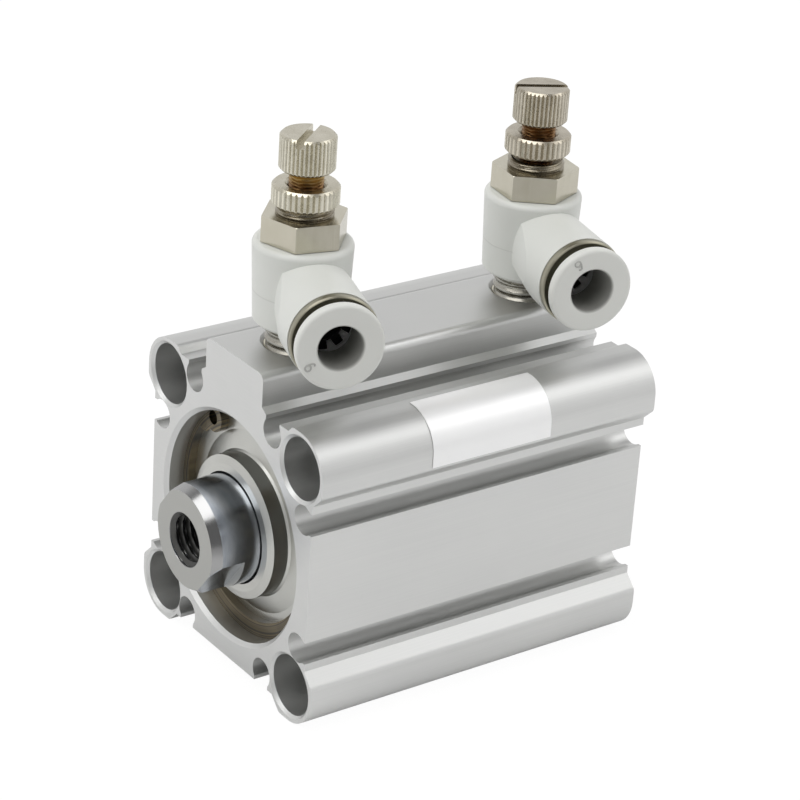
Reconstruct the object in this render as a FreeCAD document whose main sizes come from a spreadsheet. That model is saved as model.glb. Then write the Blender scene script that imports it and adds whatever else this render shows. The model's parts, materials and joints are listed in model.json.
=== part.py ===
import FreeCAD, Part
import math
import operator
import os
import Sketcher

# Compact pneumatic cylinder, bore 32 and stroke 25, with an elbow speed controller on each port.
# Millimetres. Origin at the centre of the rod-end mounting face, rod towards -Y, ports up (+Z).

V = FreeCAD.Vector
Turn = FreeCAD.Rotation
X_AXIS = V(1, 0, 0)
Y_AXIS = V(0, 1, 0)
Z_AXIS = V(0, 0, 1)
PAST = 1.0  # how far a cutting tool runs past the face it opens

SIZES = {
    # extruded tube, seen along the rod
    "body_length": 58.0,
    "lug_pitch": 17.0,
    "lug_round": 5.5,
    "lug_flat": 14.85,
    "lug_ease": 1.0,
    "side_level": 20.55,
    "top_level": 21.5,
    "boss_half": 7.25,
    "boss_top": 27.0,
    "boss_round": 1.1,
    "tooth_half": 8.35,
    "tooth_rise": 0.7,
    "slot_offset": 10.03,
    "slot_round": 2.2,
    "slot_sink": 2.0,
    "slot_mouth": 3.4,
    # holes of the tube
    "lug_hole": 2.75,
    "lug_bore": 4.5,
    "lug_bore_depth": 7.0,
    "lug_bevel": 0.45,
    "bore": 16.0,
    "seat": 17.0,
    "collar_back": 9.0,
    "ring_groove": 18.0,
    "ring_front": 3.0,
    "ring_thick": 1.3,
    "ring_slack": 0.1,
    "mouth_bevel": 0.6,
    "plate_front": 52.5,
    "plate_back": 56.6,
    "caulk_lip": 16.5,
    "caulk_back": 57.3,
    "caulk_mouth": 17.2,
    # ports
    "port_front": 10.5,
    "port_rear": 50.5,
    "port_thread": 4.87,
    "port_floor": 20.3,
    "port_bevel": 0.55,
    "port_hole": 1.6,
    "port_hole_floor": 15.0,
    # bottom plate
    "plate_round": 16.98,
    "plate_groove_front": 53.6,
    "plate_groove_back": 55.3,
    "gasket_groove": 15.5,
    "gasket_ring": 16.18,
    "gasket_thick": 0.68,
    # collar
    "collar_tip": 0.4,
    "collar_brow": 9.4,
    "collar_brow_depth": 0.5,
    "collar_boss": 10.55,
    "collar_edge_depth": 0.95,
    "collar_foot": 10.85,
    "collar_foot_depth": 3.55,
    "collar_cone": 13.5,
    "collar_face": 4.3,
    "collar_round": 16.97,
    "collar_lip": 8.25,
    "collar_hole": 8.05,
    "seal_groove": 9.5,
    "seal_front": 2.0,
    "seal_back": 4.8,
    "collar_groove_front": 5.4,
    "collar_groove_back": 7.1,
    # rod seal
    "rod_seal_hole": 8.02,
    "rod_seal_round": 9.45,
    # retaining ring
    "ring_inner": 15.65,
    "ring_inner_rise": 1.12,
    "ring_outer": 17.95,
    "ring_top": 90.0,
    "ring_gap_sweep": 64.0,
    "ring_eye_spread": 37.0,
    "ring_eye_from_axis": 15.85,
    "ring_eye_round": 2.2,
    "ring_eye_hole": 1.08,
    "ring_blend_spread": 46.0,
    "ring_blend_from_axis": 16.6,
    "ring_blend_round": 1.9,
    # rod
    "rod_out": 7.2,
    "rod": 8.0,
    "rod_bevel": 0.78,
    "rod_bevel_long": 1.35,
    "rod_thread": 3.4,
    "rod_thread_depth": 13.2,
    "rod_drill_tip": 1.9,
    "rod_countersink": 4.05,
    "rod_shoulder": 35.4,
    "rod_spigot": 5.0,
    "rod_end": 51.4,
    "rod_flats": 13.8,
    "rod_flat_length": 5.0,
    "rod_flat_angle": -38.2,
    # piston
    "piston_round": 15.85,
    "piston_hole": 5.01,
    "piston_end": 51.9,
    "piston_step": 50.2,
    "piston_step_round": 13.0,
    "piston_bevel": 0.4,
    "pseal_front": 38.0,
    "pseal_back": 41.2,
    "pseal_floor": 12.9,
    "pseal_round": 15.97,
    "magnet_front": 42.5,
    "magnet_back": 46.5,
    "magnet_floor": 12.5,
    "magnet_round": 15.15,
    "wear_front": 47.5,
    "wear_back": 49.7,
    "wear_floor": 14.3,
    "wear_round": 15.96,
    "groove_slack": 0.1,
    "floor_slack": 0.05,
    # label
    "label_front": 18.3,
    "label_back": 38.8,
    "label_thick": 0.1,
    "label_glue": 0.03,
    "label_sweep": 90.0,
    "label_top": 16.3,
    "label_bottom": 15.27,
    # stem of a speed controller, heights above the rod axis
    "stem_low": 20.6,
    "stem_thread": 4.85,
    "stem_thread_top": 26.6,
    "stem_core": 4.45,
    "stem_shank_low": 30.1,
    "stem_shank": 5.0,
    "check_low": 31.4,
    "check_high": 33.2,
    "check_floor": 4.0,
    "relief_low": 33.9,
    "relief_high": 37.1,
    "relief_floor": 4.2,
    "cross_hole": 1.3,
    "soring_low": 39.0,
    "soring_high": 40.8,
    "soring_floor": 4.0,
    "hex_low": 42.6,
    "hex_high": 46.4,
    "hex_corner": 6.3,
    "hex_bevel": 0.1,
    "hex_angle_front": -104.0,
    "hex_angle_rear": -128.0,
    "stem_bore": 2.0,
    "stem_seat_low": 33.0,
    "stem_seat_high": 33.8,
    "stem_seat": 1.25,
    "stem_chamber": 2.6,
    "guide_low": 41.2,
    "guide_socket": 3.65,
    # small rings of a speed controller
    "check_hole": 4.02,
    "check_round": 5.03,
    "soring_ring": 4.52,
    "soring_thick": 0.5,
    "noring_ring": 2.065,
    "noring_thick": 0.5,
    "noring_height": 38.05,
    # elbow
    "elbow_low": 30.3,
    "elbow_foot": 6.65,
    "elbow_head": 7.1,
    "elbow_high": 42.5,
    "elbow_rim": 0.8,
    "elbow_foot_bevel": 0.45,
    "elbow_bore": 5.05,
    "outlet_height": 35.15,
    "outlet_angle_front": 71.5,
    "outlet_angle_rear": 77.8,
    "barrel": 6.4,
    "barrel_end": 16.6,
    "flank_round": 14.0,
    "flank_side": 5.0,
    "flank_low": 4.95,
    "flank_from": 4.6,
    "flank_lean": 10.5,
    "flank_half_long": 30.0,
    "passage": 2.0,
    "tube_seat": 3.1,
    "tube_seat_from": 6.9,
    "seal_bore": 4.6,
    "seal_bore_from": 8.6,
    "cassette_bore": 5.4,
    "cassette_bore_from": 11.0,
    # push-in end
    "tseal_hole": 3.05,
    "tseal_round": 4.55,
    "tseal_end": 10.9,
    "chuck_from": 11.15,
    "chuck_to": 13.2,
    "chuck_inner": 3.25,
    "chuck_outer": 4.65,
    "chuck_thick": 0.35,
    "chuck_slots": 8,
    "chuck_slot_width": 0.5,
    "cassette_inner": 4.75,
    "cassette_sleeve": 5.38,
    "cassette_flange": 6.3,
    "cassette_from": 12.3,
    "cassette_end": 17.7,
    "cassette_bevel": 0.25,
    "button_hole": 3.12,
    "button_sleeve": 4.6,
    "button_flange": 6.2,
    "button_from": 14.5,
    "button_face": 18.9,
    "button_end": 20.5,
    "button_bevel": 0.4,
    # needle and knob
    "guide_shank": 3.6,
    "guide_neck": 4.1,
    "guide_high": 47.7,
    "guide_bore": 2.5,
    "guide_bevel": 0.3,
    "needle_tip": 32.1,
    "needle_point": 0.5,
    "needle_stalk": 1.2,
    "needle_taper_high": 34.7,
    "needle_body_low": 37.0,
    "needle_body": 2.2,
    "needle_groove_low": 37.4,
    "needle_groove_high": 38.7,
    "needle_groove": 1.5,
    "needle_thread_low": 43.0,
    "needle_thread": 2.45,
    "needle_spigot_low": 52.75,
    "needle_spigot": 1.6,
    "needle_high": 56.0,
    "needle_lift_front": 0.0,
    "needle_lift_rear": 0.5,
    "knob": 3.95,
    "knob_low": 52.75,
    "knob_high": 57.9,
    "knob_hole": 1.62,
    "knob_hole_high": 56.2,
    "knob_bevel": 0.35,
    "knob_knurls": 40,
    "knob_knurl_half": 0.2,
    "nut_knurls": 36,
    "nut_knurl_half": 0.25,
    "knurl_depth": 0.27,
    "slot_width": 1.1,
    "slot_depth": 1.1,
    "slot_angle_front": -51.0,
    "slot_angle_rear": 62.0,
    "nut": 4.75,
    "nut_low": 47.75,
    "nut_high": 50.7,
    "nut_bevel": 0.35,
    "nut_sink": 3.0,
    "nut_lift_front": 0.0,
    "nut_lift_rear": 0.8,
}

doc = FreeCAD.newDocument("compact_cylinder")
sheet = doc.addObject("Spreadsheet::Sheet", "Sizes")
for line_number, (alias, number) in enumerate(SIZES.items(), start=1):
    sheet.set("A%d" % line_number, alias)
    sheet.set("B%d" % line_number, str(number))
    sheet.setAlias("B%d" % line_number, alias)
doc.recompute()


class Size:
    """A length that knows its number and the sheet formula it came from."""

    def __init__(self, number, formula):
        self.number = float(number)
        self.formula = formula

    def joined(self, other, sign, work, swapped=False):
        other = as_size(other)
        first, second = (other, self) if swapped else (self, other)
        formula = "(%s %s %s)" % (first.formula, sign, second.formula)
        return Size(work(first.number, second.number), formula)

    def __add__(self, other):
        return self.joined(other, "+", operator.add)

    def __radd__(self, other):
        return self.joined(other, "+", operator.add, True)

    def __sub__(self, other):
        return self.joined(other, "-", operator.sub)

    def __rsub__(self, other):
        return self.joined(other, "-", operator.sub, True)

    def __mul__(self, other):
        return self.joined(other, "*", operator.mul)

    def __rmul__(self, other):
        return self.joined(other, "*", operator.mul, True)

    def __truediv__(self, other):
        return self.joined(other, "/", operator.truediv)

    def __neg__(self):
        return Size(-self.number, "(0 - %s)" % self.formula)


def as_size(value):
    if isinstance(value, Size):
        return value
    return Size(value, "%.6g" % value if value >= 0 else "(0 - %.6g)" % -value)


class Sheet:
    """Every cell of the sheet as a named Size."""

    def __getattr__(self, alias):
        return Size(SIZES[alias], "Sizes.%s" % alias)


d = Sheet()
used_names = {}
nodes = []


def fresh(kind, name):
    """A new object of the document with a name of its own."""
    used_names[name] = used_names.get(name, 0) + 1
    return doc.addObject(kind, "%s_%d" % (name, used_names[name]))


def bind(shape, **sizes):
    """Tie properties of a shape to the sheet; a property name uses two underscores for a dot."""
    for key, value in sizes.items():
        shape.setExpression(key.replace("__", "."), as_size(value).formula)
    return shape


def put(shape, x=0, y=0, z=0, turn=None):
    """Place a shape: a fixed rotation, and a position tied to the sheet."""
    place = (as_size(x), as_size(y), as_size(z))
    shape.Placement = FreeCAD.Placement(V(*(p.number for p in place)), turn or Turn())
    return bind(shape, Placement__Base__x=x, Placement__Base__y=y, Placement__Base__z=z)


ALONG_Y = Turn(X_AXIS, -90)


def outlet_turn(angle):
    """Rotation that takes local Z to the outlet direction (sin a, -cos a, 0)."""
    return Turn(Z_AXIS, angle.number - 90).multiply(Turn(Y_AXIS, 90))


def cylinder(name, radius, height, x=0, y=0, z=0, turn=None):
    return put(bind(fresh("Part::Cylinder", name), Radius=radius, Height=height), x, y, z, turn)


def cone(name, low, high, height, x=0, y=0, z=0, turn=None):
    return put(bind(fresh("Part::Cone", name), Radius1=low, Radius2=high, Height=height), x, y, z, turn)


def box(name, x, y, z, x_long, y_long, z_long):
    return put(bind(fresh("Part::Box", name), Length=x_long, Width=y_long, Height=z_long), x, y, z)


def torus(name, ring, thick, x=0, y=0, z=0, turn=None):
    return put(bind(fresh("Part::Torus", name), Radius1=ring, Radius2=thick), x, y, z, turn)


def fuse(name, shapes):
    whole = fresh("Part::MultiFuse", name)
    whole.Shapes = shapes
    return whole


def cut(name, base, tools):
    rest = fresh("Part::Cut", name)
    rest.Base = base
    rest.Tool = fuse(name + "_tools", tools) if len(tools) > 1 else tools[0]
    return rest


def common(name, first, second):
    both = fresh("Part::Common", name)
    both.Base = first
    both.Tool = second
    return both


def node(name, shape):
    """Mark a shape as one finished piece."""
    shape.Label = name
    nodes.append(shape)
    return shape


def plane(body, role):
    return next(f for f in body.Origin.OriginFeatures if f.Role == role)


def outline(body, name, role, points):
    """Closed sketch through points (x, y) or (x, y, r), r being the round from there to the next."""
    sketch = body.newObject("Sketcher::SketchObject", name)
    sketch.AttachmentSupport = [(plane(body, role), "")]
    sketch.MapMode = "FlatFace"
    corners = [(as_size(p[0]), as_size(p[1]), as_size(p[2]) if len(p) > 2 else None) for p in points]
    flat = [V(x.number, y.number, 0) for x, y, _ in corners]
    count = len(corners)
    for i, (_, _, bend) in enumerate(corners):
        start, end = flat[i], flat[(i + 1) % count]
        if bend is None:
            sketch.addGeometry(Part.LineSegment(start, end), False)
            continue
        chord = end - start
        inward = V(-chord.y, chord.x, 0).normalize()
        reach = math.sqrt(max(bend.number ** 2 - chord.Length ** 2 / 4, 0))
        middle = (start + end) * 0.5 + inward * reach
        first = math.atan2(start.y - middle.y, start.x - middle.x)
        last = math.atan2(end.y - middle.y, end.x - middle.x)
        if last < first:
            last += 2 * math.pi
        sketch.addGeometry(Part.ArcOfCircle(Part.Circle(middle, Z_AXIS, bend.number), first, last), False)
    for i in range(count):
        sketch.addConstraint(Sketcher.Constraint("Coincident", i, 2, (i + 1) % count, 1))
    for i, (x, y, bend) in enumerate(corners):
        for kind, axis, value in (("DistanceX", -2, x), ("DistanceY", -1, y)):
            if abs(value.number) < 1e-9:
                sketch.addConstraint(Sketcher.Constraint("PointOnObject", i, 1, axis))
                continue
            where = sketch.addConstraint(Sketcher.Constraint(kind, -1, 1, i, 1, value.number))
            sketch.setExpression("Constraints[%d]" % where, value.formula)
        if bend is not None:
            where = sketch.addConstraint(Sketcher.Constraint("Radius", i, bend.number))
            sketch.setExpression("Constraints[%d]" % where, bend.formula)
    return sketch


def turned(name, points):
    """Lathe piece: outline of (radius, height) spun round the local Z axis."""
    body = doc.addObject("PartDesign::Body", name)
    profile = outline(body, name + "_profile", "XZ_Plane", points)
    spin = body.newObject("PartDesign::Revolution", name + "_turned")
    spin.Profile = profile
    spin.ReferenceAxis = (profile, ["V_Axis"])
    spin.Angle = 360
    profile.Visibility = False
    return body


def groove_round(body, name, points, count):
    """Cut one outline through the whole height of a lathe piece and repeat it round the axis."""
    sketch = outline(body, name + "_profile", "XY_Plane", points)
    cutter = body.newObject("PartDesign::Pocket", name + "_cut")
    cutter.Profile = sketch
    cutter.Type = 1
    cutter.Reversed = True
    ring = body.newObject("PartDesign::PolarPattern", name + "_ring")
    ring.Originals = [cutter]
    ring.Axis = (plane(body, "Z_Axis"), [""])
    ring.Angle = 360
    bind(ring, Occurrences=count)
    body.Tip = ring
    sketch.Visibility = False
    return body


def knurled(body, name, radius, half, count):
    """V grooves along the rim of a knob or a nut; half is half a groove's width at the rim."""
    rim = radius + d.knurl_depth
    spread = 2 * half
    valley = radius - d.knurl_depth
    return groove_round(body, name, [(valley, 0), (rim, -spread), (rim, spread)], count)


# Cylinder tube: the extruded outline, then slots, bolt holes, bore and ports.
lug_out = d.lug_pitch + d.lug_round
side_start = d.lug_flat - (lug_out - d.side_level)
top_start = d.lug_flat - (lug_out - d.top_level)
boss_wall = d.top_level + d.tooth_rise
boss_side = d.boss_top - d.boss_round
boss_flat = d.boss_half - d.boss_round
ease_run = d.lug_ease * math.tan(math.pi / 8)
ease_on = d.lug_flat + ease_run
ease_off = d.lug_flat - ease_run / math.sqrt(2)
ease_out = lug_out - ease_run / math.sqrt(2)
extrusion = doc.addObject("PartDesign::Body", "extrusion")
section = outline(extrusion, "extrusion_profile", "XZ_Plane", [
    (-side_start, -d.side_level),
    (side_start, -d.side_level),
    (ease_off, -ease_out, d.lug_ease),
    (ease_on, -lug_out),
    (d.lug_pitch, -lug_out, d.lug_round),
    (lug_out, -d.lug_pitch),
    (lug_out, -ease_on, d.lug_ease),
    (ease_out, -ease_off),
    (d.side_level, -side_start),
    (d.side_level, side_start),
    (ease_out, ease_off, d.lug_ease),
    (lug_out, ease_on),
    (lug_out, d.lug_pitch, d.lug_round),
    (d.lug_pitch, lug_out),
    (ease_on, lug_out, d.lug_ease),
    (ease_off, ease_out),
    (top_start, d.top_level),
    (d.tooth_half, d.top_level),
    (d.boss_half, boss_wall),
    (d.boss_half, boss_side, d.boss_round),
    (boss_flat, d.boss_top),
    (-boss_flat, d.boss_top, d.boss_round),
    (-d.boss_half, boss_side),
    (-d.boss_half, boss_wall),
    (-d.tooth_half, d.top_level),
    (-top_start, d.top_level),
    (-ease_off, ease_out, d.lug_ease),
    (-ease_on, lug_out),
    (-d.lug_pitch, lug_out, d.lug_round),
    (-lug_out, d.lug_pitch),
    (-lug_out, ease_on, d.lug_ease),
    (-ease_out, ease_off),
    (-d.side_level, side_start),
    (-d.side_level, -side_start),
    (-ease_out, -ease_off, d.lug_ease),
    (-lug_out, -ease_on),
    (-lug_out, -d.lug_pitch, d.lug_round),
    (-d.lug_pitch, -lug_out),
    (-ease_on, -lug_out, d.lug_ease),
    (-ease_off, -ease_out),
])
bar = extrusion.newObject("PartDesign::Pad", "extrusion_bar")
bar.Profile = section
bar.Reversed = True
bind(bar, Length=d.body_length)

through = d.body_length + 2 * PAST
mouth = d.slot_mouth / 2
tools = []
for side in (-1, 1):
    along = side * d.slot_offset
    for level, sign in ((d.top_level, 1), (d.side_level, -1)):
        deep = sign * (level - d.slot_sink)
        tools.append(cylinder("slot", d.slot_round, through, along, -PAST, deep, ALONG_Y))
        low = level - d.slot_sink if sign > 0 else -level - PAST
        tools.append(box("slot_mouth", along - mouth, -PAST, low, d.slot_mouth, through, d.slot_sink + PAST))
    for sign in (-1, 1):
        deep = sign * (d.side_level - d.slot_sink)
        tools.append(cylinder("slot", d.slot_round, through, deep, -PAST, along, ALONG_Y))
        low = d.side_level - d.slot_sink if sign > 0 else -d.side_level - PAST
        tools.append(box("slot_mouth", low, -PAST, along - mouth, d.slot_sink + PAST, through, d.slot_mouth))
for side in (-1, 1):
    for sign in (-1, 1):
        x = side * d.lug_pitch
        z = sign * d.lug_pitch
        rim = d.lug_bore + d.lug_bevel
        far = d.body_length - d.lug_bore_depth
        tools.append(cylinder("lug_hole", d.lug_hole, through, x, -PAST, z, ALONG_Y))
        tools.append(cylinder("lug_bore", d.lug_bore, d.lug_bore_depth + PAST, x, -PAST, z, ALONG_Y))
        tools.append(cylinder("lug_bore", d.lug_bore, d.lug_bore_depth + PAST, x, far, z, ALONG_Y))
        tools.append(cone("lug_bevel", rim, d.lug_bore, d.lug_bevel, x, 0, z, ALONG_Y))
        tools.append(cone("lug_bevel", d.lug_bore, rim, d.lug_bevel,
                          x, d.body_length - d.lug_bevel, z, ALONG_Y))
tools.append(cylinder("bore", d.bore, through, 0, -PAST, 0, ALONG_Y))
tools.append(cylinder("collar_seat", d.seat, d.collar_back + PAST, 0, -PAST, 0, ALONG_Y))
tools.append(cone("mouth", d.seat + d.mouth_bevel, d.seat, d.mouth_bevel, 0, 0, 0, ALONG_Y))
tools.append(cylinder("ring_groove", d.ring_groove, d.ring_thick + d.ring_slack, 0, d.ring_front, 0, ALONG_Y))
tools.append(cylinder("plate_seat", d.seat, d.plate_back - d.plate_front, 0, d.plate_front, 0, ALONG_Y))
tools.append(cylinder("caulk", d.caulk_lip, d.body_length - d.plate_back, 0, d.plate_back, 0, ALONG_Y))
tools.append(cone("caulk_mouth", d.caulk_lip, d.caulk_mouth, d.body_length - d.caulk_back,
                  0, d.caulk_back, 0, ALONG_Y))
for port in (d.port_front, d.port_rear):
    tools.append(cylinder("port", d.port_thread, d.boss_top - d.port_floor + PAST, 0, port, d.port_floor))
    tools.append(cone("port_bevel", d.port_thread, d.port_thread + d.port_bevel, d.port_bevel,
                      0, port, d.boss_top - d.port_bevel))
    tools.append(cylinder("port_hole", d.port_hole, d.port_floor - d.port_hole_floor + PAST,
                          0, port, d.port_hole_floor))
node("cylinder_tube", cut("tube", extrusion, tools))

# Bottom plate and the two gaskets.
node("bottom_plate", put(turned("plate", [
    (0, d.plate_front),
    (d.plate_round, d.plate_front),
    (d.plate_round, d.plate_groove_front),
    (d.gasket_groove, d.plate_groove_front),
    (d.gasket_groove, d.plate_groove_back),
    (d.plate_round, d.plate_groove_back),
    (d.plate_round, d.plate_back),
    (0, d.plate_back),
]), turn=ALONG_Y))
plate_groove_middle = (d.plate_groove_front + d.plate_groove_back) / 2
collar_groove_middle = (d.collar_groove_front + d.collar_groove_back) / 2
node("bottom_gasket", torus("gasket", d.gasket_ring, d.gasket_thick, 0, plate_groove_middle, 0, ALONG_Y))
node("collar_gasket", torus("gasket", d.gasket_ring, d.gasket_thick, 0, collar_groove_middle, 0, ALONG_Y))

# Collar and rod seal.
node("collar", put(turned("rod_guide", [
    (d.collar_hole, d.seal_back),
    (d.collar_hole, d.collar_back),
    (d.collar_round, d.collar_back),
    (d.collar_round, d.collar_groove_back),
    (d.gasket_groove, d.collar_groove_back),
    (d.gasket_groove, d.collar_groove_front),
    (d.collar_round, d.collar_groove_front),
    (d.collar_round, d.collar_face),
    (d.collar_cone, d.collar_face),
    (d.collar_foot, d.collar_foot_depth),
    (d.collar_boss, d.collar_foot_depth - (d.collar_foot - d.collar_boss)),
    (d.collar_boss, d.collar_edge_depth),
    (d.collar_brow, d.collar_brow_depth),
    (d.collar_lip, d.collar_tip),
    (d.collar_lip, d.seal_front),
    (d.seal_groove, d.seal_front),
    (d.seal_groove, d.seal_back),
]), turn=ALONG_Y))
node("rod_seal", put(turned("lip_seal", [
    (d.rod_seal_hole, d.seal_front + d.groove_slack),
    (d.rod_seal_round, d.seal_front + d.groove_slack),
    (d.rod_seal_round, d.seal_back - d.groove_slack),
    (d.rod_seal_hole, d.seal_back - d.groove_slack),
]), turn=ALONG_Y))

# Retaining ring: open at the top, its hole set off centre so that it narrows towards its two eyed ends.
ring_disc = cylinder("ring_disc", d.ring_outer, d.ring_thick, 0, d.ring_front, 0, ALONG_Y)
ring_hole = cylinder("ring_hole", d.ring_inner, d.ring_thick + 2 * PAST,
                     0, d.ring_front - PAST, d.ring_inner_rise, ALONG_Y)
ring_gap = cylinder("ring_gap", d.ring_outer + PAST, d.ring_thick + 2 * PAST, 0, d.ring_front - PAST, 0,
                    Turn(Y_AXIS, -(d.ring_top + d.ring_gap_sweep / 2).number).multiply(ALONG_Y))
bind(ring_gap, Angle=d.ring_gap_sweep)


def round_ring(from_axis, angle):
    """Position on the ring at an angle from +X towards +Z."""
    turn = math.radians(angle.number)
    return from_axis * math.cos(turn), from_axis * math.sin(turn)


ring_lobes = []
eye_holes = []
for side in (-1, 1):
    eye_x, eye_z = round_ring(d.ring_eye_from_axis, d.ring_top + side * d.ring_eye_spread)
    blend_x, blend_z = round_ring(d.ring_blend_from_axis, d.ring_top + side * d.ring_blend_spread)
    ring_lobes.append(cylinder("ring_eye", d.ring_eye_round, d.ring_thick,
                               eye_x, d.ring_front, eye_z, ALONG_Y))
    ring_lobes.append(cylinder("ring_blend", d.ring_blend_round, d.ring_thick,
                               blend_x, d.ring_front, blend_z, ALONG_Y))
    eye_holes.append(cylinder("ring_eye_hole", d.ring_eye_hole, d.ring_thick + 2 * PAST,
                              eye_x, d.ring_front - PAST, eye_z, ALONG_Y))
ring_limit = cylinder("ring_limit", d.ring_outer, d.ring_thick, 0, d.ring_front, 0, ALONG_Y)
open_ring = cut("open_ring", ring_disc, [ring_hole, ring_gap])
eyed_ring = common("eyed_ring", fuse("ring_blank", [open_ring] + ring_lobes), ring_limit)
node("retaining_ring", cut("ring", eyed_ring, eye_holes))

# Piston rod: heights from the tip, then two wrench flats.
tip = d.rod_out
rod_blank = put(turned("rod_blank", [
    (0, d.rod_thread_depth + d.rod_drill_tip),
    (d.rod_thread, d.rod_thread_depth),
    (d.rod_thread, d.rod_countersink - d.rod_thread),
    (d.rod_countersink, 0),
    (d.rod - d.rod_bevel, 0),
    (d.rod, d.rod_bevel_long),
    (d.rod, tip + d.rod_shoulder),
    (d.rod_spigot, tip + d.rod_shoulder),
    (d.rod_spigot, tip + d.rod_end),
    (0, tip + d.rod_end),
]), 0, -tip, 0, ALONG_Y)
flat_depth = d.rod - d.rod_flats / 2
flats = []
for side in (0, 180):
    flat = bind(fresh("Part::Box", "rod_flat"), Length=flat_depth + PAST, Width=d.rod_flat_length + PAST,
                Height=2 * d.rod)
    spin = Turn(Y_AXIS, -(d.rod_flat_angle.number + side))
    corner = spin.multVec(V(d.rod_flats.number / 2, 0, -d.rod.number))
    flat.Placement = FreeCAD.Placement(V(corner.x, -tip.number - PAST, corner.z), spin)
    flats.append(flat)
node("piston_rod", cut("rod", rod_blank, flats))

# Piston with its seal, magnet and wear ring.
node("piston", put(turned("piston_blank", [
    (d.piston_hole, d.rod_shoulder),
    (d.piston_round - d.piston_bevel, d.rod_shoulder),
    (d.piston_round, d.rod_shoulder + d.piston_bevel),
    (d.piston_round, d.pseal_front),
    (d.pseal_floor, d.pseal_front),
    (d.pseal_floor, d.pseal_back),
    (d.piston_round, d.pseal_back),
    (d.piston_round, d.magnet_front),
    (d.magnet_floor, d.magnet_front),
    (d.magnet_floor, d.magnet_back),
    (d.piston_round, d.magnet_back),
    (d.piston_round, d.wear_front),
    (d.wear_floor, d.wear_front),
    (d.wear_floor, d.wear_back),
    (d.piston_round, d.wear_back),
    (d.piston_round, d.piston_step),
    (d.piston_step_round, d.piston_step),
    (d.piston_step_round, d.piston_end),
    (d.piston_hole, d.piston_end),
]), turn=ALONG_Y))


def band(name, floor, outer, front, back):
    """Plain ring that sits in a piston groove with a little room."""
    return put(turned(name + "_blank", [
        (floor + d.floor_slack, front + d.groove_slack),
        (outer, front + d.groove_slack),
        (outer, back - d.groove_slack),
        (floor + d.floor_slack, back - d.groove_slack),
    ]), turn=ALONG_Y)


node("piston_seal", band("piston_seal", d.pseal_floor, d.pseal_round, d.pseal_front, d.pseal_back))
node("piston_magnet", band("piston_magnet", d.magnet_floor, d.magnet_round,
                           d.magnet_front, d.magnet_back))
node("wear_ring", band("wear_ring", d.wear_floor, d.wear_round, d.wear_front, d.wear_back))

# Label: a foil that follows the round of the upper right lug and runs on along its two flats.
label_long = d.label_back - d.label_front
foil_sector = Turn(Y_AXIS, -d.label_sweep.number).multiply(ALONG_Y)
foil_round = d.lug_round + d.label_glue
foil_outer = cylinder("foil_outer", foil_round + d.label_thick, label_long,
                      d.lug_pitch, d.label_front, d.lug_pitch, foil_sector)
bind(foil_outer, Angle=d.label_sweep)
foil_inner = cylinder("foil_inner", foil_round, label_long + 2 * PAST,
                      d.lug_pitch, d.label_front - PAST, d.lug_pitch, ALONG_Y)
foil_arc = cut("foil_arc", foil_outer, [foil_inner])
foil_flat = box("foil_flat", d.lug_pitch + foil_round, d.label_front, d.label_bottom,
                d.label_thick, label_long, d.lug_pitch - d.label_bottom)
foil_top = box("foil_top", d.label_top, d.label_front, d.lug_pitch + foil_round,
               d.lug_pitch - d.label_top, label_long, d.label_thick)
node("label", fuse("foil", [foil_arc, foil_flat, foil_top]))


def stem(prefix, port, hex_angle):
    """Hollow screw: pipe thread, shank with three grooves, hexagon head."""
    shank = put(turned(prefix + "_stem_shank", [
        (d.stem_bore, d.stem_low),
        (d.stem_thread, d.stem_low),
        (d.stem_thread, d.stem_thread_top),
        (d.stem_core, d.stem_thread_top),
        (d.stem_core, d.stem_shank_low),
        (d.stem_shank, d.stem_shank_low),
        (d.stem_shank, d.check_low),
        (d.check_floor, d.check_low),
        (d.check_floor, d.check_high),
        (d.stem_shank, d.check_high),
        (d.stem_shank, d.relief_low),
        (d.relief_floor, d.relief_low),
        (d.relief_floor, d.relief_high),
        (d.stem_shank, d.relief_high),
        (d.stem_shank, d.soring_low),
        (d.soring_floor, d.soring_low),
        (d.soring_floor, d.soring_high),
        (d.stem_shank, d.soring_high),
        (d.stem_shank, d.hex_low),
        (d.guide_socket, d.hex_low),
        (d.guide_socket, d.guide_low),
        (d.stem_chamber, d.guide_low),
        (d.stem_chamber, d.stem_seat_high),
        (d.stem_seat, d.stem_seat_high),
        (d.stem_seat, d.stem_seat_low),
        (d.stem_bore, d.stem_seat_low),
    ]), 0, port, 0)
    tall = d.hex_high - d.hex_low
    prism = bind(fresh("Part::Prism", prefix + "_hex"), Circumradius=d.hex_corner, Height=tall)
    prism.Polygon = 6
    put(prism, 0, port, d.hex_low, Turn(Z_AXIS, hex_angle.number))
    top = d.hex_corner - d.hex_bevel
    crown = cone(prefix + "_crown", top + tall, top, tall, 0, port, d.hex_low)
    socket = cylinder(prefix + "_socket", d.guide_socket, tall + 2 * PAST, 0, port, d.hex_low - PAST)
    head = cut(prefix + "_head", common(prefix + "_hex_head", prism, crown), [socket])
    middle = (d.relief_low + d.relief_high) / 2
    cross = []
    for turn in (Turn(Y_AXIS, 90), Turn(X_AXIS, 90)):
        hole = cylinder(prefix + "_cross_hole", d.cross_hole, 2 * d.stem_shank, 0, port, middle, turn)
        shift = turn.multVec(V(0, 0, -d.stem_shank.number))
        hole.setExpression("Placement.Base.x", as_size(shift.x).formula)
        hole.setExpression("Placement.Base.y", (port + shift.y).formula)
        cross.append(hole)
    node(prefix + "_stem", cut(prefix + "_screw", fuse(prefix + "_screw_blank", [shank, head]), cross))


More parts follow.
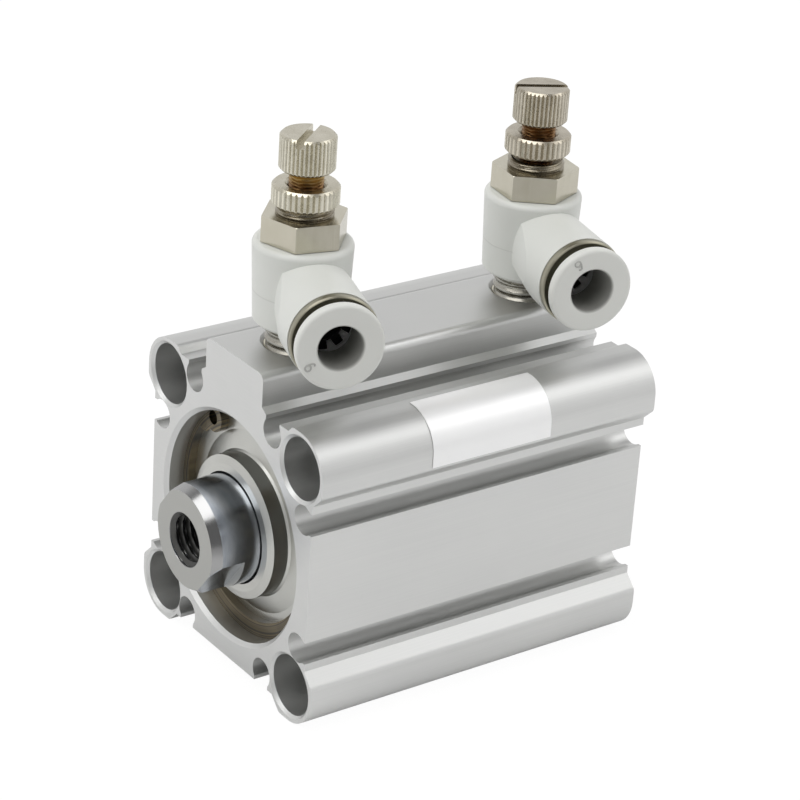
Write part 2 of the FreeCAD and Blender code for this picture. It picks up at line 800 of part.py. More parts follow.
def stem_rings(prefix, port):
    """Check valve lip and O-ring of the stem."""
    node(prefix + "_check_seal", put(turned(prefix + "_check_lip", [
        (d.check_hole, d.check_low + d.floor_slack),
        (d.check_round, d.check_low + d.floor_slack),
        (d.check_round, d.check_high - d.floor_slack),
        (d.check_hole, d.check_high - d.floor_slack),
    ]), 0, port, 0))
    middle = (d.soring_low + d.soring_high) / 2
    oring = torus(prefix + "_oring", d.soring_ring, d.soring_thick, 0, port, middle)
    node(prefix + "_stem_oring", oring)


def elbow(prefix, port, angle):
    """Plastic elbow: a tapered sleeve round the stem and a barrel towards the tube.

    The barrel is slimmer below and on both sides where it leaves the sleeve; five large rounds
    limit it there, and they lean outwards until they run out into it.
    """
    sleeve = put(turned(prefix + "_sleeve", [
        (0, d.elbow_low),
        (d.elbow_foot - d.elbow_foot_bevel, d.elbow_low),
        (d.elbow_foot, d.elbow_low + d.elbow_foot_bevel),
        (d.elbow_head, d.elbow_high - d.elbow_rim, d.elbow_rim),
        (d.elbow_head - d.elbow_rim, d.elbow_high),
        (0, d.elbow_high),
    ]), 0, port, 0)
    turn = outlet_turn(angle)
    ahead = turn.multVec(Z_AXIS)

    def along(name, radius, start, end):
        """Cylinder on the outlet axis between two distances from the stem."""
        shape = cylinder(prefix + name, radius, end - start, y=port, z=d.outlet_height, turn=turn)
        return bind(shape, Placement__Base__x=start * ahead.x, Placement__Base__y=port + start * ahead.y)

    def flank(way, reach):
        """Large round whose wall passes the outlet axis at a reach, on a side in degrees from below."""
        facing = turn.multiply(Turn(Z_AXIS, way))
        out = facing.multVec(X_AXIS)
        lean = math.radians(d.flank_lean.number)
        aside = reach - d.flank_round / math.cos(lean) - d.flank_half_long * math.sin(lean)
        start = d.flank_from - d.flank_half_long * math.cos(lean)
        shape = cylinder(prefix + "_flank", d.flank_round, 2 * d.flank_half_long,
                         turn=facing.multiply(Turn(Y_AXIS, d.flank_lean.number)))
        return bind(shape, Placement__Base__x=aside * out.x + start * ahead.x,
                    Placement__Base__y=port + aside * out.y + start * ahead.y,
                    Placement__Base__z=d.outlet_height + aside * out.z + start * ahead.z)

    arm = along("_barrel", d.barrel, as_size(0), d.barrel_end)
    for way, reach in ((-90, d.flank_side), (-45, d.flank_low), (0, d.flank_low),
                       (45, d.flank_low), (90, d.flank_side)):
        arm = common(prefix + "_arm", arm, flank(way, reach))
    floor = d.outlet_height - d.barrel - PAST
    holes = [
        cylinder(prefix + "_bore", d.elbow_bore, d.elbow_high - floor + PAST, 0, port, floor),
        along("_passage", d.passage, as_size(0), d.tube_seat_from + PAST),
        along("_tube_seat", d.tube_seat, d.tube_seat_from, d.seal_bore_from + PAST),
        along("_seal_bore", d.seal_bore, d.seal_bore_from, d.cassette_bore_from + PAST),
        along("_cassette_bore", d.cassette_bore, d.cassette_bore_from, d.barrel_end + PAST),
    ]
    node(prefix + "_elbow_body", cut(prefix + "_elbow", fuse(prefix + "_elbow_blank", [sleeve, arm]), holes))


def push_in(prefix, port, angle):
    """Tube seal, toothed chuck, cassette and release button on the outlet axis."""
    place = {"y": port, "z": d.outlet_height, "turn": outlet_turn(angle)}
    node(prefix + "_tube_seal", put(turned(prefix + "_tube_lip", [
        (d.tseal_hole, d.seal_bore_from + d.groove_slack),
        (d.tseal_round, d.seal_bore_from + d.groove_slack),
        (d.tseal_round, d.tseal_end),
        (d.tseal_hole, d.tseal_end),
    ]), **place))
    chuck = turned(prefix + "_chuck_ring", [
        (d.chuck_inner, d.chuck_from),
        (d.chuck_inner + d.chuck_thick, d.chuck_from),
        (d.chuck_outer, d.chuck_to),
        (d.chuck_outer - d.chuck_thick, d.chuck_to),
    ])
    half = d.chuck_slot_width / 2
    inside = d.chuck_inner - d.chuck_thick
    outside = d.chuck_outer - d.chuck_thick
    groove_round(chuck, prefix + "_chuck_slots",
                 [(inside, -half), (outside, -half), (outside, half), (inside, half)], d.chuck_slots)
    node(prefix + "_chuck", put(chuck, **place))
    node(prefix + "_cassette", put(turned(prefix + "_cassette_ring", [
        (d.cassette_inner, d.cassette_from),
        (d.cassette_sleeve, d.cassette_from),
        (d.cassette_sleeve, d.barrel_end),
        (d.cassette_flange, d.barrel_end),
        (d.cassette_flange, d.cassette_end - d.cassette_bevel),
        (d.cassette_flange - d.cassette_bevel, d.cassette_end),
        (d.cassette_inner, d.cassette_end),
    ]), **place))
    node(prefix + "_release_button", put(turned(prefix + "_button", [
        (d.button_hole, d.button_from),
        (d.button_sleeve, d.button_from),
        (d.button_sleeve, d.button_face),
        (d.button_flange - d.button_bevel, d.button_face),
        (d.button_flange, d.button_face + d.button_bevel),
        (d.button_flange, d.button_end - d.button_bevel),
        (d.button_flange - d.button_bevel, d.button_end),
        (d.button_hole + d.button_bevel, d.button_end),
        (d.button_hole, d.button_end - d.button_bevel),
    ]), **place))


def throttle(prefix, port, lift, slot_angle, nut_lift):
    """Threaded bush, needle with its O-ring, knob and lock nut."""
    node(prefix + "_needle_guide", put(turned(prefix + "_guide", [
        (d.guide_bore, d.guide_low + d.floor_slack),
        (d.guide_shank, d.guide_low + d.floor_slack),
        (d.guide_shank, d.hex_high),
        (d.guide_neck, d.hex_high),
        (d.guide_neck, d.guide_high - d.guide_bevel),
        (d.guide_neck - d.guide_bevel, d.guide_high),
        (d.guide_bore, d.guide_high),
    ]), 0, port, 0))
    node(prefix + "_needle", put(turned(prefix + "_needle_blank", [
        (0, d.needle_tip),
        (d.needle_point, d.needle_tip),
        (d.needle_stalk, d.needle_taper_high),
        (d.needle_stalk, d.needle_body_low),
        (d.needle_body, d.needle_body_low),
        (d.needle_body, d.needle_groove_low),
        (d.needle_groove, d.needle_groove_low),
        (d.needle_groove, d.needle_groove_high),
        (d.needle_body, d.needle_groove_high),
        (d.needle_body, d.needle_thread_low),
        (d.needle_thread, d.needle_thread_low),
        (d.needle_thread, d.needle_spigot_low),
        (d.needle_spigot, d.needle_spigot_low),
        (d.needle_spigot, d.needle_high),
        (0, d.needle_high),
    ]), 0, port, lift))
    node(prefix + "_needle_oring", torus(prefix + "_needle_ring", d.noring_ring, d.noring_thick,
                                         0, port, d.noring_height + lift))
    knob = turned(prefix + "_knob_blank", [
        (0, d.knob_hole_high),
        (d.knob_hole, d.knob_hole_high),
        (d.knob_hole, d.knob_low),
        (d.knob - d.knob_bevel, d.knob_low),
        (d.knob, d.knob_low + d.knob_bevel),
        (d.knob, d.knob_high - d.knob_bevel),
        (d.knob - d.knob_bevel, d.knob_high),
        (0, d.knob_high),
    ])
    knurled(knob, prefix + "_knob_knurl", d.knob, d.knob_knurl_half, d.knob_knurls)
    put(knob, 0, port, lift)
    slot = bind(fresh("Part::Box", prefix + "_knob_slot"), Length=2 * (d.knob + PAST), Width=d.slot_width,
                Height=d.slot_depth + PAST)
    spin = Turn(Z_AXIS, slot_angle.number)
    corner = spin.multVec(V(-d.knob.number - PAST, -d.slot_width.number / 2, 0))
    put(slot, corner.x, port + corner.y, d.knob_high - d.slot_depth + lift, spin)
    node(prefix + "_knob", cut(prefix + "_slotted_knob", knob, [slot]))
    nut = turned(prefix + "_nut_blank", [
        (d.guide_bore, d.nut_low),
        (d.nut - d.nut_bevel, d.nut_low),
        (d.nut, d.nut_low + d.nut_bevel),
        (d.nut, d.nut_high - d.nut_bevel),
        (d.nut - d.nut_bevel, d.nut_high),
        (d.nut_sink, d.nut_high),
        (d.guide_bore, d.nut_high - (d.nut_sink - d.guide_bore)),
    ])
    knurled(nut, prefix + "_nut_knurl", d.nut, d.nut_knurl_half, d.nut_knurls)
    node(prefix + "_lock_nut", put(nut, 0, port, nut_lift))


for prefix, port, hex_angle, angle, lift, slot_angle, nut_lift in (
    ("front", d.port_front, d.hex_angle_front, d.outlet_angle_front,
     d.needle_lift_front, d.slot_angle_front, d.nut_lift_front),
    ("rear", d.port_rear, d.hex_angle_rear, d.outlet_angle_rear,
     d.needle_lift_rear, d.slot_angle_rear, d.nut_lift_rear),
):
    stem(prefix, port, hex_angle)
    stem_rings(prefix, port)
    elbow(prefix, port, angle)
    push_in(prefix, port, angle)
    throttle(prefix, port, lift, slot_angle, nut_lift)

doc.recompute()
for thing in doc.Objects:
    if "Invalid" in thing.State or "Error" in thing.State:
        raise RuntimeError("%s did not build: %s" % (thing.Name, thing.State))
os.makedirs("parts", exist_ok=True)
for piece in nodes:
    if piece.Shape.isNull() or not piece.Shape.isValid() or len(piece.Shape.Solids) != 1:
        raise RuntimeError("%s is not one valid solid" % piece.Label)
    piece.Shape.exportStep("parts/%s.step" % piece.Label)
    room = piece.Shape.BoundBox
    print("%-22s %9.2f mm3  x %.2f..%.2f  y %.2f..%.2f  z %.2f..%.2f" % (
        piece.Label, piece.Shape.Volume, room.XMin, room.XMax, room.YMin, room.YMax, room.ZMin, room.ZMax))
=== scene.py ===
import json
import math

import bmesh
import bpy
import numpy as np
from mathutils import Matrix, Vector


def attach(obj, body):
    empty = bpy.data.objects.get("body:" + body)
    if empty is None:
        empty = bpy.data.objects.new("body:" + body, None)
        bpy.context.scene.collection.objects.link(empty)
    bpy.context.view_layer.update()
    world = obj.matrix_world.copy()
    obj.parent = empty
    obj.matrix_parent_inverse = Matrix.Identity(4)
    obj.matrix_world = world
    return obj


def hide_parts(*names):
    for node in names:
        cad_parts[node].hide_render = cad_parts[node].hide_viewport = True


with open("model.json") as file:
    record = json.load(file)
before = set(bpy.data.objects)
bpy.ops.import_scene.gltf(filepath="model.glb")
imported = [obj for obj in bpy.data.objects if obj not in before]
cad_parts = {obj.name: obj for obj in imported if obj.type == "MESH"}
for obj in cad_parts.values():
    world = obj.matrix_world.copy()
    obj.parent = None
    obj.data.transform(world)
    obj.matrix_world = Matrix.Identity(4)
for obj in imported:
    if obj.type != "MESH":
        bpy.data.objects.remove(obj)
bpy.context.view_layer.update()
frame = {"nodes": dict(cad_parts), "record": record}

# Looks of a compact air cylinder with two elbow speed controllers.
# Sizes are millimetres until a mesh is made. Heights are from the rod axis, depths from the rod-end face.
MM = 0.001
TURN = 2 * math.pi
SAME_POINT = 0.0001
BODY_MIDDLE = Vector((0, 29, 0))
FLOOR = -22.52  # just under the lower lugs
PORTS = {"front": 10.5, "rear": 50.5}
PORT_MIDDLE = (PORTS["front"] + PORTS["rear"]) / 2
PORT_REACH = (PORTS["rear"] - PORTS["front"]) / 2
OUTLET_HEIGHT = 35.15
OUTLET_ANGLE = {"front": math.radians(71.5), "rear": math.radians(77.8)}
BUTTON_FACE = 20.5
TUBE_HOLE = 3.12
NEEDLE_LIFT = {"front": 0.0, "rear": 0.5}
NEEDLE_LOOK = {"front": "bare_brass", "rear": "rear_brass"}


def outlet_axes(end):
    """Directions across, aside and along the outlet of one elbow; along points out of the socket."""
    turn = OUTLET_ANGLE[end]
    along = (math.sin(turn), -math.cos(turn), 0)
    return (math.cos(turn), math.sin(turn), 0), (0, 0, 1), along


def photo_camera():
    """Camera of the photograph: it looks towards the body's middle from an azimuth and an elevation,
    leans by the roll, and stands a little aside and above."""
    azimuth, elevation, roll = (math.radians(angle) for angle in (53.019, 25.648, 3.872))
    distance, aside, above = 422.782, 0.758, 12.185
    focal_pixels, picture_pixels = 2873.013, 800
    flat = math.cos(elevation)
    back = Vector((math.sin(azimuth) * flat, -math.cos(azimuth) * flat, math.sin(elevation)))
    level = Vector((math.cos(azimuth), math.sin(azimuth), 0))
    upright = back.cross(level)
    right = level * math.cos(roll) + upright * math.sin(roll)
    up = upright * math.cos(roll) - level * math.sin(roll)
    place = (BODY_MIDDLE + right * aside + up * above + back * distance) * MM
    data = bpy.data.cameras.new("photo_camera")
    data.sensor_width = 36
    data.lens = focal_pixels * data.sensor_width / picture_pixels
    data.clip_start = 0.01
    data.clip_end = 50
    camera = bpy.data.objects.new("photo_camera", data)
    camera.matrix_world = Matrix.Translation(place) @ Matrix((right, up, back)).transposed().to_4x4()
    bpy.context.collection.objects.link(camera)
    bpy.context.scene.camera = camera


photo_camera()


class Value:
    """A number that varies over a surface; arithmetic on it adds Math nodes."""

    def __init__(self, finish, socket):
        self.finish = finish
        self.socket = socket

    def math(self, operation, first, second=0.0):
        return self.finish.node("ShaderNodeMath", {"operation": operation}, {0: first, 1: second})

    def __add__(self, other):
        return self.math("ADD", self, other)

    def __radd__(self, other):
        return self.math("ADD", other, self)

    def __sub__(self, other):
        return self.math("SUBTRACT", self, other)

    def __rsub__(self, other):
        return self.math("SUBTRACT", other, self)

    def __mul__(self, other):
        return self.math("MULTIPLY", self, other)

    def __rmul__(self, other):
        return self.math("MULTIPLY", other, self)

    def __abs__(self):
        return self.math("ABSOLUTE", self)

    def above(self, low, high):
        """0 under low, 1 over high, straight between."""
        sockets = {"Value": self, "From Min": low, "From Max": high}
        return self.finish.node("ShaderNodeMapRange", {}, sockets)


class Graph:
    """A node tree under construction."""

    def __init__(self, tree):
        self.tree = tree

    def node(self, kind, settings, sockets, output=0):
        """Any node: its settings first, then the values or links of its sockets; gives one output."""
        made = self.tree.nodes.new(kind)
        for key, value in settings.items():
            setattr(made, key, value)
        for key, value in sockets.items():
            self.feed(made.inputs[key], value)
        return Value(self, made.outputs[output])

    def feed(self, socket, value):
        if isinstance(value, Value):
            self.tree.links.new(value.socket, socket)
        else:
            socket.default_value = value

    def vector(self, operation, first, second=(0.0, 0.0, 0.0)):
        """Arithmetic on vectors; a length or a dot product is a single number."""
        output = "Value" if operation in ("LENGTH", "DOT_PRODUCT") else "Vector"
        return self.node("ShaderNodeVectorMath", {"operation": operation}, {0: first, 1: second}, output)


class Finish(Graph):
    """A material under construction: one Principled shader and the nodes that feed it."""

    def __init__(self, name, **constants):
        self.material = bpy.data.materials.new(name)
        self.material.use_nodes = True
        super().__init__(self.material.node_tree)
        self.tree.nodes.clear()
        self.shader = self.tree.nodes.new("ShaderNodeBsdfPrincipled")
        self.output = self.tree.nodes.new("ShaderNodeOutputMaterial")
        self.tree.links.new(self.shader.outputs[0], self.output.inputs["Surface"])
        for key, value in constants.items():
            self.shader.inputs[key.replace("_", " ")].default_value = value

    def surface(self, **inputs):
        """Feed the shader's own sockets."""
        for key, value in inputs.items():
            self.feed(self.shader.inputs[key.replace("_", " ")], value)
        return self.material

    def place(self, stretch=(1, 1, 1)):
        """Object coordinates in millimetres, stretched."""
        where = self.node("ShaderNodeTexCoord", {}, {}, "Object")
        scale = tuple(s / MM for s in stretch)
        return self.node("ShaderNodeMapping", {}, {"Vector": where, "Scale": scale})

    def noise(self, stretch, detail=2.0, roughness=0.5):
        """Cloudy value; stretch is how many blotches fit in a millimetre along X, Y and Z."""
        sockets = {"Vector": self.place(stretch), "Scale": 1.0, "Detail": detail, "Roughness": roughness}
        return self.node("ShaderNodeTexNoise", {}, sockets, "Fac")

    def facing(self, axis):
        """How squarely the surface faces along X, Y or Z, without sign."""
        normal = self.node("ShaderNodeTexCoord", {}, {}, "Normal")
        return abs(self.node("ShaderNodeSeparateXYZ", {}, {0: normal}, axis))

    def blend(self, share, first, second):
        """Colour between two colours."""
        return self.node("ShaderNodeMix", {"data_type": "RGBA"}, {0: share, 6: first, 7: second}, 2)

    def axis(self, name):
        """Object coordinate along X, Y or Z in millimetres."""
        return self.node("ShaderNodeSeparateXYZ", {}, {0: self.place()}, name)

    def bands(self, where, detail=2.0):
        """Cloudy value that changes along one number only."""
        sockets = {"W": where, "Scale": 1.0, "Detail": detail}
        return self.node("ShaderNodeTexNoise", {"noise_dimensions": "1D"}, sockets)

    def from_port(self):
        """Distance from the axis of the nearer port: the ports lie equally far before and behind
        their middle."""
        beside = abs(self.axis("Y") - PORT_MIDDLE) - PORT_REACH
        flat = self.node("ShaderNodeCombineXYZ", {}, {0: self.axis("X"), 1: beside})
        return self.vector("LENGTH", flat)

    def from_outlet(self, end):
        """Distance from the outlet axis of one elbow: length of the cross product with its direction."""
        away = self.vector("SUBTRACT", self.place(), (0.0, PORTS[end], OUTLET_HEIGHT))
        along = outlet_axes(end)[2]
        return self.vector("LENGTH", self.vector("CROSS_PRODUCT", away, along))

    def from_rod(self):
        """Distance from the rod axis in millimetres."""
        flat = self.vector("MULTIPLY", self.place(), (1.0, 0.0, 1.0))
        return self.vector("LENGTH", flat)

    def bump(self, height, rise):
        """Normal tilted by a height of 0 to 1 that stands rise millimetres tall."""
        sockets = {"Strength": 1.0, "Distance": rise * MM, "Height": height}
        return self.node("ShaderNodeBump", {}, sockets, "Normal")


def grey(level, warm=0.0):
    """A grey in linear light, tinted towards yellow by warm."""
    return (level * (1 + 0.3 * warm), level, level * (1 - warm), 1.0)


def anodised_finish():
    """Satin anodised extrusion: fine lines along the body, milled end faces, faint clouding, and painted
    shade on the walls within the radius of the mouth."""
    shade, light, bore_wall_shade = (0.59, 0.595, 0.59, 1.0), (0.74, 0.74, 0.725, 1.0), (0.10, 0.10, 0.09, 1.0)
    mouth, past_mouth = 18.02, 18.1
    f = Finish("anodised_aluminium", Metallic=1.0, IOR=1.5)
    lines = f.noise((7.0, 0.03, 7.0), detail=3.0)
    ends = f.facing("Y").above(0.85, 0.98)
    milling = f.noise((0.15, 1.0, 9.0), detail=2.0)
    clouds = f.noise((0.08, 0.05, 0.08), detail=3.0)
    grain = f.noise((14.0, 14.0, 14.0), detail=1.0)
    marks = lines * (1 - ends) + milling * ends
    walls = 1 - f.facing("Y").above(0.4, 0.6)
    # painted shade: walls inside the bore, within the mouth's radius, are darkened towards near-black
    inside = (1 - f.from_rod().above(mouth, past_mouth)) * walls
    tone = f.blend(clouds * 0.5 + marks * 0.5, shade, light)
    tone = f.blend(inside * 0.35, tone, bore_wall_shade)
    rough = 0.33 + 0.12 * marks + 0.05 * clouds
    return f.surface(Base_Color=tone, Roughness=rough, Normal=f.bump(marks * 0.6 + grain * 0.4, 0.006))


def turned_finish(name, dark, pale, rough):
    """Lathe-turned bright metal: rings round the rod axis, worked out from the distance to it plus the
    place along it."""
    rings_per_mm = 6.0
    f = Finish(name, Metallic=1.0)
    rings = f.bands(f.from_rod() * rings_per_mm + f.axis("Y") * rings_per_mm)
    clouds = f.noise((0.3, 0.3, 0.3), detail=3.0)
    tone = f.blend(rings * 0.5 + clouds * 0.5, dark, pale)
    return f.surface(Base_Color=tone, Roughness=rough + 0.08 * rings, Normal=f.bump(rings, 0.004))


def chrome_finish():
    """Ground and hard chromed rod, faintly blue, smeared where it stands out at rest, with a grey turned
    tip and painted shade, near black, in the threaded hole."""
    shade, light = (0.41, 0.445, 0.50, 1.0), (0.62, 0.645, 0.69, 1.0)
    bevel_grey, tip_grey = (0.37, 0.37, 0.37, 1.0), (0.42, 0.42, 0.40, 1.0)
    # near-black colour used as painted shade in recesses
    recess_shade = (0.04, 0.04, 0.036, 1.0)
    hole_edge, tip_edge = 3.98, 4.06
    smeared_until, clean_from = -1.0, 2.0
    rings_per_mm = 9.0
    f = Finish("hard_chrome", Metallic=1.0)
    depth = f.axis("Y")
    rings = f.bands(depth * rings_per_mm, detail=3.0)
    smears = f.noise((0.25, 0.6, 0.25), detail=3.0)
    tip = f.facing("Y").above(0.8, 0.95)
    bevel = f.facing("Y").above(0.2, 0.4)
    hole = 1 - f.from_rod().above(hole_edge, tip_edge)
    bare_part = depth.above(smeared_until, clean_from)
    bright = smears.above(0.3, 0.7) * (1 - bare_part) + (0.6 + 0.2 * rings) * bare_part
    tone = f.blend(bright, shade, light)
    tone = f.blend(bevel, tone, bevel_grey)
    tone = f.blend(tip, tone, tip_grey)
    # painted shade: the threaded hole is darkened almost to black
    tone = f.blend(hole * 0.85, tone, recess_shade)
    rough = 0.17 + 0.08 * rings + 0.12 * tip + 0.16 * hole
    return f.surface(Base_Color=tone, Roughness=rough, Normal=f.bump(rings, 0.002))


NICKEL_PALE = (0.56, 0.53, 0.44, 1.0)
NICKEL_DARK = (0.41, 0.38, 0.30, 1.0)


def nickel_finish(name, pale=NICKEL_PALE, dark=NICKEL_DARK, crest=0.0, root=0.0, dirt=0.3):
    """Electroless nickel on turned brass: warm grey, small stains, fine tool marks, and specks of dirt.
    Grooves between the root and crest radius get painted shade, and the level faces beside them more."""
    # brown for the specks of dirt and for the painted shade
    dirt_and_shade_brown = (0.16, 0.13, 0.09, 1.0)
    f = Finish(name, Metallic=1.0)
    stains = f.noise((0.5, 0.5, 0.5), detail=4.0, roughness=0.6)
    specks = f.noise((4.0, 4.0, 4.0), detail=2.0).above(0.62, 0.75)
    marks = f.noise((0.6, 0.6, 12.0), detail=2.0)
    tone = f.blend(stains.above(0.3, 0.75), pale, dark)
    dirt_and_shade = specks * dirt
    # painted shade: level faces and the grooves between root and crest radius are darkened; the specks are
    # real dirt
    if crest:
        level = f.facing("Z").above(0.35, 0.65)
        groove = (1 - level) * (1 - f.from_port().above(root, crest))
        dirt_and_shade = dirt_and_shade + level * 0.32 + groove * 0.15
    tone = f.blend(dirt_and_shade, tone, dirt_and_shade_brown)
    rough = 0.22 + 0.10 * stains + 0.08 * specks
    return f.surface(Base_Color=tone, Roughness=rough, Normal=f.bump(marks * 0.7 + stains * 0.3, 0.004))


def hexagon_finish():
    """Plated hexagon, ground upright: fine lines along Z, few stains."""
    shade, light = (0.46, 0.43, 0.34, 1.0), (0.64, 0.61, 0.52, 1.0)
    f = Finish("hexagon_nickel", Metallic=1.0)
    lines = f.noise((5.0, 5.0, 0.12), detail=3.0)
    stains = f.noise((0.4, 0.4, 0.4), detail=3.0)
    tone = f.blend(lines * 0.5 + stains * 0.5, shade, light)
    return f.surface(Base_Color=tone, Roughness=0.15 + 0.12 * lines, Normal=f.bump(lines, 0.004))


def cassette_finish(end):
    """Closing ring of the barrel: olive nickel on the rim, darkened as a painted dark reflection, and
    painted shade on the face behind the button.
    """
    olive_dark, olive_pale = (0.30, 0.285, 0.22, 1.0), (0.42, 0.40, 0.32, 1.0)
    recess_shade = (0.10, 0.095, 0.07, 1.0)
    button_edge, rim_edge = 6.0, 6.2
    f = Finish(end + "_cassette_nickel", Metallic=1.0)
    stains = f.noise((0.8, 0.8, 0.8), detail=3.0)
    rim = f.from_outlet(end).above(button_edge, rim_edge)
    # painted shade on the face behind the button; the rim's darkened olive nickel is a painted dark
    # reflection
    tone = f.blend(rim, recess_shade, f.blend(stains, olive_dark, olive_pale))
    return f.surface(Base_Color=tone, Roughness=0.28 + 0.12 * stains, Normal=f.bump(stains, 0.004))


def brass_finish(end, lit_share):
    """Bare brass with painted shade towards the lock nut; the share given last is how bright the upper
    turns are.
    """
    shaded_pale, shaded_dark = (0.33, 0.19, 0.08, 1.0), (0.19, 0.10, 0.045, 1.0)
    bare = (0.54, 0.39, 0.16, 1.0)
    shaded_height, lit_height = 50.6, 52.4
    f = Finish(end + "_needle_brass", Metallic=1.0)
    stains = f.noise((1.2, 1.2, 1.2), detail=4.0, roughness=0.6)
    # painted shade: below the upper turns the brass takes darker shaded tones, with real stains among them
    bare_part = f.axis("Z").above(shaded_height, lit_height) * lit_share
    tone = f.blend(bare_part, f.blend(stains.above(0.3, 0.7), shaded_pale, shaded_dark), bare)
    return f.surface(Base_Color=tone, Roughness=0.28 + 0.16 * stains, Normal=f.bump(stains, 0.006))


def resin_finish(name, dark, pale, seam=0.0, bore_of=None):
    """Off-white moulded resin: satin, faintly grained; seam is the share of a mould line round the sleeve
    at outlet height, and bore_of names the elbow whose tube hole gets painted shade."""
    line_grey, socket_shade = (0.40, 0.40, 0.38, 1.0), (0.30, 0.30, 0.28, 1.0)
    sleeve_edge, past_sleeve = 7.2, 7.4
    shaded_edge, unshaded_edge = TUBE_HOLE + 0.06, TUBE_HOLE + 0.33
    f = Finish(name, IOR=1.5)
    grain = f.noise((9.0, 9.0, 9.0), detail=2.0)
    clouds = f.noise((0.12, 0.12, 0.12), detail=2.0)
    line = (1 - abs(f.axis("Z") - OUTLET_HEIGHT).above(0.04, 0.12)) * seam
    line = line * (1 - f.from_port().above(sleeve_edge, past_sleeve))
    tone = f.blend(clouds, dark, pale)
    tone = f.blend(line * 0.3, tone, line_grey)
    # painted shade inside the button's tube hole
    if bore_of:
        tone = f.blend(1 - f.from_outlet(bore_of).above(shaded_edge, unshaded_edge), tone, socket_shade)
    rough = 0.36 + 0.10 * grain
    return f.surface(Base_Color=tone, Roughness=rough, Normal=f.bump(grain * 0.3 + line * 0.7, 0.03))


def phosphate_finish():
    """Brown phosphated spring steel, dark brown, with a painted sheen of golden rings round the rod axis.
    """
    black, sheen_gold = (0.065, 0.062, 0.055, 1.0), (0.21, 0.17, 0.105, 1.0)
    rings_per_mm = 3.0
    f = Finish("brown_phosphate", Metallic=1.0)
    rings = f.bands(f.from_rod() * rings_per_mm)
    blotches = f.noise((0.15, 0.15, 0.15), detail=2.0)
    grain = f.noise((8.0, 8.0, 8.0), detail=2.0)
    # painted sheen: golden bands in rings round the rod axis over the dark brown steel
    tone = f.blend((rings * 0.7 + blotches * 0.3).above(0.38, 0.62), black, sheen_gold)
    relief = f.bump(rings * 0.7 + grain * 0.3, 0.006)
    return f.surface(Base_Color=tone, Roughness=0.24 + 0.12 * grain, Normal=relief)


def rubber_finish():
    """Matt black nitrile rubber with a dusty bloom."""
    f = Finish("nitrile_rubber", IOR=1.45)
    bloom = f.noise((1.5, 1.5, 1.5), detail=3.0)
    tone = f.blend(bloom, grey(0.018), grey(0.045))
    return f.surface(Base_Color=tone, Roughness=0.55 + 0.2 * bloom, Normal=f.bump(bloom, 0.01))


def dark_finish(name, dark, pale):
    """Matt filled resin with a fine speckle."""
    f = Finish(name, IOR=1.5)
    speckle = f.noise((5.0, 5.0, 5.0), detail=3.0)
    tone = f.blend(speckle, dark, pale)
    return f.surface(Base_Color=tone, Roughness=0.5 + 0.2 * speckle, Normal=f.bump(speckle, 0.01))


def foil_finish():
    """Pale silver label foil, brushed along the body."""
    shade, light = (0.95, 0.95, 0.95, 1.0), (0.99, 0.99, 0.985, 1.0)
    f = Finish("label_foil", Metallic=0.45, IOR=1.5)
    brushed = f.noise((10.0, 0.2, 10.0), detail=2.0)
    clouds = f.noise((0.2, 0.2, 0.2), detail=2.0)
    tone = f.blend(brushed * 0.5 + clouds * 0.5, shade, light)
    return f.surface(Base_Color=tone, Roughness=0.32 + 0.1 * brushed, Normal=f.bump(brushed, 0.002))


def steel_finish():
    """Stamped stainless steel with a satin skin."""
    f = Finish("stamped_steel", Metallic=0.4)
    marks = f.noise((2.0, 2.0, 6.0), detail=2.0)
    tone = f.blend(marks, grey(0.88), grey(0.97))
    return f.surface(Base_Color=tone, Roughness=0.30 + 0.12 * marks, Normal=f.bump(marks, 0.004))


KNOB_PALE = (0.80, 0.765, 0.65, 1.0)
KNOB_DARK = (0.66, 0.625, 0.51, 1.0)
# painted shade on the rear knob and lock nut: a darker copy of the knob nickel
REAR_SHADE_PALE = (0.67, 0.62, 0.52, 1.0)
REAR_SHADE_DARK = (0.52, 0.475, 0.385, 1.0)
BUTTON_PALE = (0.725, 0.73, 0.695, 1.0)
BUTTON_DARK = (0.68, 0.685, 0.65, 1.0)
ELBOW_PALE = (0.70, 0.71, 0.675, 1.0)
ELBOW_DARK = (0.645, 0.655, 0.62, 1.0)
# painted shade for the raised six: a darker copy of the button resin standing in for its shaded edges
MARK_SHADE_PALE = (0.45, 0.45, 0.43, 1.0)
MARK_SHADE_DARK = (0.40, 0.40, 0.38, 1.0)
COLLAR_PALE = (0.61, 0.61, 0.58, 1.0)
COLLAR_DARK = (0.50, 0.50, 0.47, 1.0)
# painted shade on the bush's neck thread in the gap between lock nut and hexagon: a darker copy of the
# nickel
THREAD_SHADE_PALE = (0.41, 0.38, 0.31, 1.0)
THREAD_SHADE_DARK = (0.27, 0.24, 0.19, 1.0)
STEM_PALE = (0.46, 0.455, 0.42, 1.0)
STEM_DARK = (0.37, 0.36, 0.32, 1.0)
